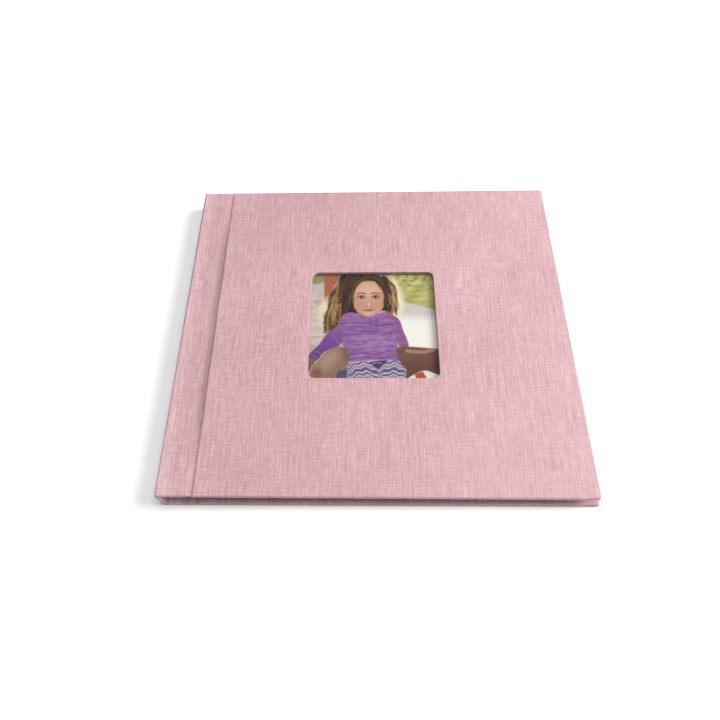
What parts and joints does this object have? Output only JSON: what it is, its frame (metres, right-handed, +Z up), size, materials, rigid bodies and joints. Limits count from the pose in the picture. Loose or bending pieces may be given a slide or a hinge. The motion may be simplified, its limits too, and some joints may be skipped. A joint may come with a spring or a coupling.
{
  "type": "scrapbook album",
  "caption": "Square linen-covered post-bound scrapbook album with a picture window in the front cover, hinged boards and clear leaves that hold white cards.",
  "frame": {"origin": "on the table under the middle of the closed album, at the underside of its back cover", "axes": "+X from the spine to the fore-edge, +Y from the tail to the head of the cover, +Z up out of the front cover"},
  "size_m": [0.2324, 0.216, 0.0144],
  "materials": {
    "linen": "dusty pink linen weave, matte",
    "greyboard": "bare greyboard, matte",
    "endpaper": "uncoated off-white paper",
    "clear_film": "clear polyester film, glossy",
    "pocket_card": "white-lined card, matte",
    "print_paper": "printed photo paper, satin",
    "post_metal": "nickel-plated steel, polished",
    "guard_stock": "white polypropylene, matte",
    "sleeve_film": "clear polypropylene film, glossy",
    "insert_card": "smooth white card"
  },
  "bodies": {
    "binding": {"front_strip": "greyboard", "back_strip": "greyboard", "spine_board": "greyboard", "binding_cloth": "linen", "binding_liner": "endpaper", "packing_strip": "greyboard", "post_barrels": "post_metal", "guard_1": "guard_stock", "guard_2": "guard_stock", "guard_3": "guard_stock", "guard_4": "guard_stock", "guard_5": "guard_stock", "guard_6": "guard_stock", "guard_7": "guard_stock", "guard_8": "guard_stock"},
    "front_cover": {"front_board": "greyboard", "front_cloth": "linen", "front_liner": "endpaper", "window_film": "clear_film", "pocket_frame": "pocket_card", "pocket_back": "pocket_card"},
    "back_cover": {"back_board": "greyboard", "back_cloth": "linen", "back_liner": "endpaper"},
    "picture": {"photo_print": "print_paper"},
    "tail_screw": {"post_screw_tail": "post_metal"},
    "head_screw": {"post_screw_head": "post_metal"},
    "leaf_1": {"sleeve_1": "sleeve_film"},
    "card_1": {"insert_1": "insert_card"},
    "leaf_2": {"sleeve_2": "sleeve_film"},
    "card_2": {"insert_2": "insert_card"},
    "leaf_3": {"sleeve_3": "sleeve_film"},
    "card_3": {"insert_3": "insert_card"},
    "leaf_4": {"sleeve_4": "sleeve_film"},
    "card_4": {"insert_4": "insert_card"},
    "leaf_5": {"sleeve_5": "sleeve_film"},
    "card_5": {"insert_5": "insert_card"},
    "leaf_6": {"sleeve_6": "sleeve_film"},
    "card_6": {"insert_6": "insert_card"},
    "leaf_7": {"sleeve_7": "sleeve_film"},
    "card_7": {"insert_7": "insert_card"},
    "leaf_8": {"sleeve_8": "sleeve_film"},
    "card_8": {"insert_8": "insert_card"}
  },
  "joints": [
    {"name": "front_cover_hinge", "type": "hinge", "parent": "binding", "child": "front_cover", "pos_m": [-0.09735, 0, 0.0147], "axis": [0, -1, 0], "range_deg": [0, 180]},
    {"name": "back_cover_hinge", "type": "hinge", "parent": "binding", "child": "back_cover", "pos_m": [-0.09585, 0, -0.0003], "axis": [0, 1, 0], "range_deg": [0, 180]},
    {"name": "picture_slide", "type": "slide", "parent": "front_cover", "child": "picture", "axis": [0, 1, 0], "range_m": [0, 0.09]},
    {"name": "tail_screw_turn", "type": "hinge", "parent": "binding", "child": "tail_screw", "pos_m": [-0.10585, -0.054, 0.001], "axis": [0, 0, 1], "continuous": true},
    {"name": "head_screw_turn", "type": "hinge", "parent": "binding", "child": "head_screw", "pos_m": [-0.10585, 0.054, 0.001], "axis": [0, 0, 1], "continuous": true},
    {"name": "leaf_1_turn", "type": "hinge", "parent": "binding", "child": "leaf_1", "pos_m": [-0.09535, 0, 0.00343], "axis": [0, -1, 0], "range_deg": [0, 85]},
    {"name": "leaf_2_turn", "type": "hinge", "parent": "binding", "child": "leaf_2", "pos_m": [-0.09535, 0, 0.00417], "axis": [0, -1, 0], "range_deg": [0, 85]},
    {"name": "leaf_3_turn", "type": "hinge", "parent": "binding", "child": "leaf_3", "pos_m": [-0.09535, 0, 0.00492], "axis": [0, -1, 0], "range_deg": [0, 85]},
    {"name": "leaf_4_turn", "type": "hinge", "parent": "binding", "child": "leaf_4", "pos_m": [-0.09535, 0, 0.00568], "axis": [0, -1, 0], "range_deg": [0, 85]},
    {"name": "leaf_5_turn", "type": "hinge", "parent": "binding", "child": "leaf_5", "pos_m": [-0.09535, 0, 0.00643], "axis": [0, -1, 0], "range_deg": [0, 85]},
    {"name": "leaf_6_turn", "type": "hinge", "parent": "binding", "child": "leaf_6", "pos_m": [-0.09535, 0, 0.00717], "axis": [0, -1, 0], "range_deg": [0, 85]},
    {"name": "leaf_7_turn", "type": "hinge", "parent": "binding", "child": "leaf_7", "pos_m": [-0.09535, 0, 0.00792], "axis": [0, -1, 0], "range_deg": [0, 85]},
    {"name": "leaf_8_turn", "type": "hinge", "parent": "binding", "child": "leaf_8", "pos_m": [-0.09535, 0, 0.00868], "axis": [0, -1, 0], "range_deg": [0, 85]},
    {"name": "card_1_slide", "type": "slide", "parent": "leaf_1", "child": "card_1", "axis": [0, 1, 0], "range_m": [0, 0.205]},
    {"name": "card_2_slide", "type": "slide", "parent": "leaf_2", "child": "card_2", "axis": [0, 1, 0], "range_m": [0, 0.205]},
    {"name": "card_3_slide", "type": "slide", "parent": "leaf_3", "child": "card_3", "axis": [0, 1, 0], "range_m": [0, 0.205]},
    {"name": "card_4_slide", "type": "slide", "parent": "leaf_4", "child": "card_4", "axis": [0, 1, 0], "range_m": [0, 0.205]},
    {"name": "card_5_slide", "type": "slide", "parent": "leaf_5", "child": "card_5", "axis": [0, 1, 0], "range_m": [0, 0.205]},
    {"name": "card_6_slide", "type": "slide", "parent": "leaf_6", "child": "card_6", "axis": [0, 1, 0], "range_m": [0, 0.205]},
    {"name": "card_7_slide", "type": "slide", "parent": "leaf_7", "child": "card_7", "axis": [0, 1, 0], "range_m": [0, 0.205]},
    {"name": "card_8_slide", "type": "slide", "parent": "leaf_8", "child": "card_8", "axis": [0, 1, 0], "range_m": [0, 0.205]}
  ],
  "couplings": [
    {"joint": "leaf_1_turn", "follows": "front_cover_hinge", "ratio": 0.038889},
    {"joint": "leaf_2_turn", "follows": "front_cover_hinge", "ratio": 0.083333},
    {"joint": "leaf_3_turn", "follows": "front_cover_hinge", "ratio": 0.13333},
    {"joint": "leaf_4_turn", "follows": "front_cover_hinge", "ratio": 0.18889},
    {"joint": "leaf_5_turn", "follows": "front_cover_hinge", "ratio": 0.25},
    {"joint": "leaf_6_turn", "follows": "front_cover_hinge", "ratio": 0.31667},
    {"joint": "leaf_7_turn", "follows": "front_cover_hinge", "ratio": 0.38333},
    {"joint": "leaf_8_turn", "follows": "front_cover_hinge", "ratio": 0.45556}
  ]
}
